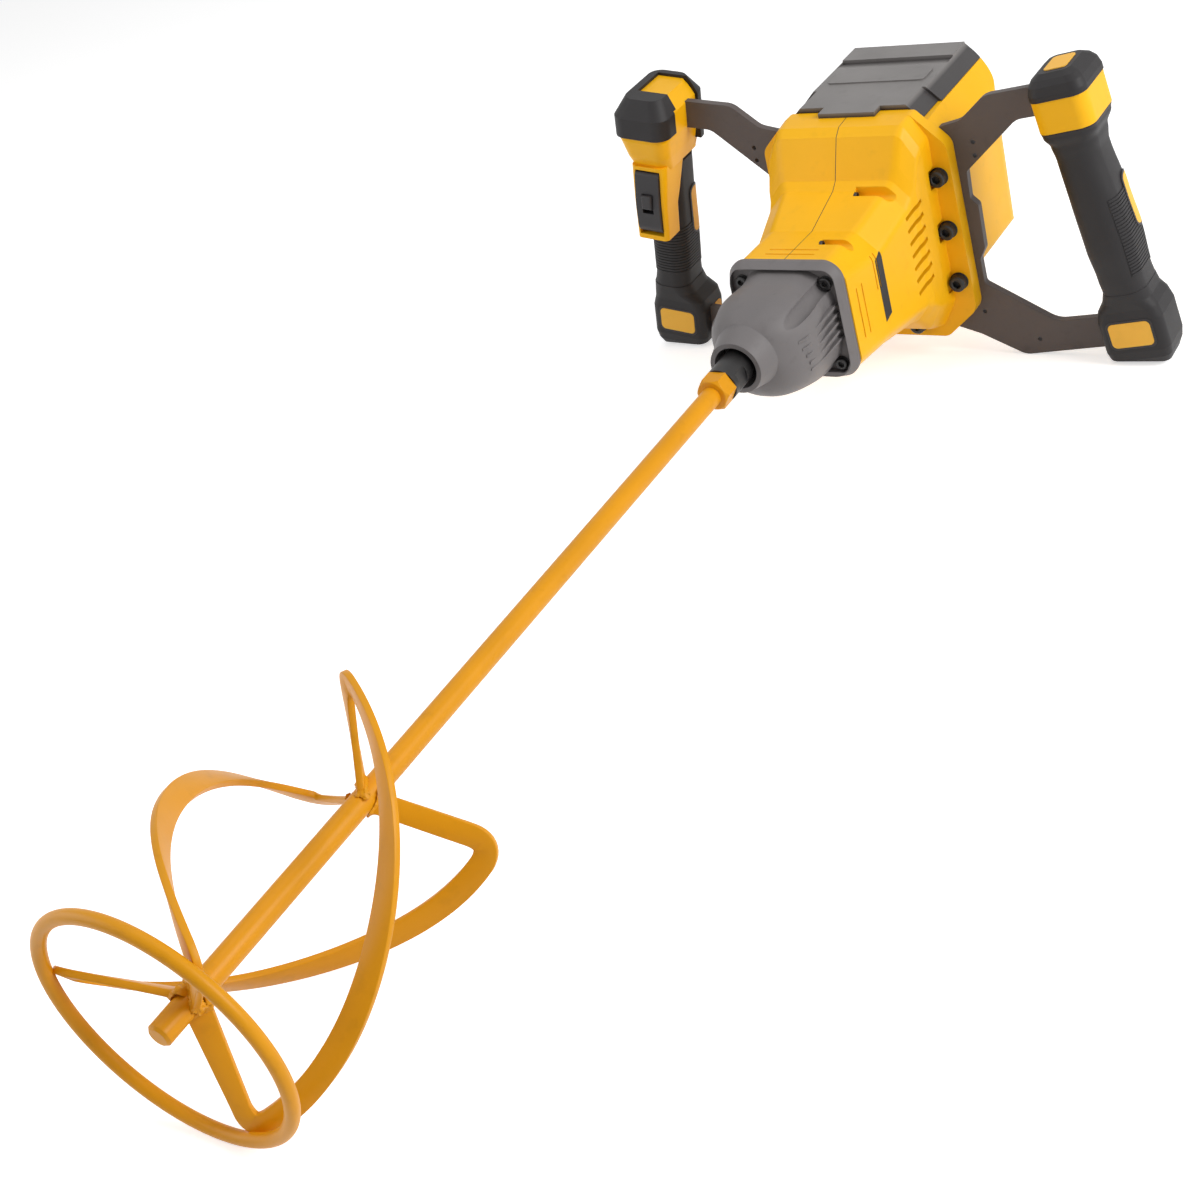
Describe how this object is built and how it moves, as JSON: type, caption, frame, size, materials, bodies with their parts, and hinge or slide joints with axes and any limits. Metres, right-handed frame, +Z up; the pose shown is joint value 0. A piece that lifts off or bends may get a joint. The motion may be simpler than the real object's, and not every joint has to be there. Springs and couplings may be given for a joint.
{
  "type": "mixing drill",
  "caption": "Two-handled battery mixing drill with a geared spindle, side bracket handles, a trigger and a long ring paddle with twisted blades.",
  "frame": {"origin": "on the spindle axis at the tip of the paddle shaft, level with the front of the ring", "axes": "+Y along the spindle axis from the paddle to the machine, +Z up, +X to the right seen from the paddle's side"},
  "size_m": [0.4457, 0.9688, 0.2372],
  "materials": {
    "yellow_housing": "moulded, fine satin grain",
    "handle_rubber": "overmoulded soft grip",
    "paddle_paint": "powder coated",
    "machined_steel": "turned and ground",
    "black_steel": "black oxide",
    "grey_casting": "cast and painted grey",
    "bronze": "sintered",
    "black_plastic": "moulded",
    "grey_lid": "moulded, grained",
    "orange_pad": "moulded bumper pad",
    "dark_plate": "powder coated steel plate",
    "seal_rubber": "lip seal"
  },
  "bodies": {
    "frame": {"front_housing_left": "yellow_housing", "front_housing_right": "yellow_housing", "rear_housing": "yellow_housing", "band_right": "yellow_housing", "trigger_housing": "yellow_housing", "grip_left": "handle_rubber", "grip_right": "handle_rubber", "foot_left": "handle_rubber", "foot_right": "handle_rubber", "cap_right": "handle_rubber", "bumper_left": "handle_rubber", "stator": "machined_steel", "hinge_pin": "machined_steel", "trigger_pin": "machined_steel", "spindle_front_bearing": "machined_steel", "spindle_rear_bearing": "machined_steel", "motor_front_bearing": "machined_steel", "motor_tail_bearing": "machined_steel", "handle_core_left": "machined_steel", "handle_core_right": "machined_steel", "housing_bolts": "black_steel", "gearbox_screws": "black_steel", "shell_screws": "black_steel", "gearbox_housing": "grey_casting", "gear_carrier": "grey_casting", "gear_plate": "grey_casting", "layshaft_front_bush": "bronze", "layshaft_rear_bush": "bronze", "battery_pack": "black_plastic", "battery_terminals": "black_plastic", "motor_controller": "black_plastic", "foot_pads_left": "orange_pad", "foot_pads_right": "orange_pad", "cap_pad_right": "orange_pad", "bracket_left": "dark_plate", "bracket_right": "dark_plate", "spindle_seal": "seal_rubber"},
    "spindle": {"spindle": "machined_steel", "output_gear": "machined_steel", "paddle_shaft": "paddle_paint", "paddle_ring": "paddle_paint", "paddle_blade_1": "paddle_paint", "paddle_blade_2": "paddle_paint", "paddle_blade_3": "paddle_paint"},
    "layshaft": {"layshaft": "machined_steel", "layshaft_gear": "machined_steel"},
    "rotor": {"motor_shaft": "machined_steel", "rotor": "machined_steel", "cooling_fan": "black_plastic"},
    "trigger": {"trigger": "black_plastic"},
    "trigger_lock": {"trigger_lock": "black_plastic"},
    "lid": {"battery_lid": "grey_lid"}
  },
  "joints": [
    {"name": "spindle_spin", "type": "hinge", "parent": "frame", "child": "spindle", "pos_m": [0, 0.594, 0], "axis": [0, 1, 0], "continuous": true},
    {"name": "layshaft_spin", "type": "hinge", "parent": "frame", "child": "layshaft", "pos_m": [0, 0.66, -0.03], "axis": [0, 1, 0], "continuous": true},
    {"name": "motor_spin", "type": "hinge", "parent": "frame", "child": "rotor", "pos_m": [0, 0.7, -0.0084], "axis": [0, 1, 0], "continuous": true},
    {"name": "trigger_pull", "type": "hinge", "parent": "frame", "child": "trigger", "pos_m": [-0.17325, 0.824, 0.04534], "axis": [0.9857, 0, -0.1685], "range_deg": [0, 8], "stiffness_Nm_per_rad": 2, "springref_deg": -5.73},
    {"name": "lock_slide", "type": "slide", "parent": "trigger", "child": "trigger_lock", "axis": [-0.1685, 0, -0.9857], "range_m": [0, 0.004], "stiffness_N_per_m": 300, "springref_m": -0.002},
    {"name": "lid_open", "type": "hinge", "parent": "frame", "child": "lid", "pos_m": [0, 0.9656, 0.0816], "axis": [-1, 0, 0], "range_deg": [0, 100]}
  ],
  "couplings": [
    {"joint": "layshaft_spin", "follows": "spindle_spin", "ratio": -3},
    {"joint": "motor_spin", "follows": "spindle_spin", "ratio": 10.5}
  ]
}
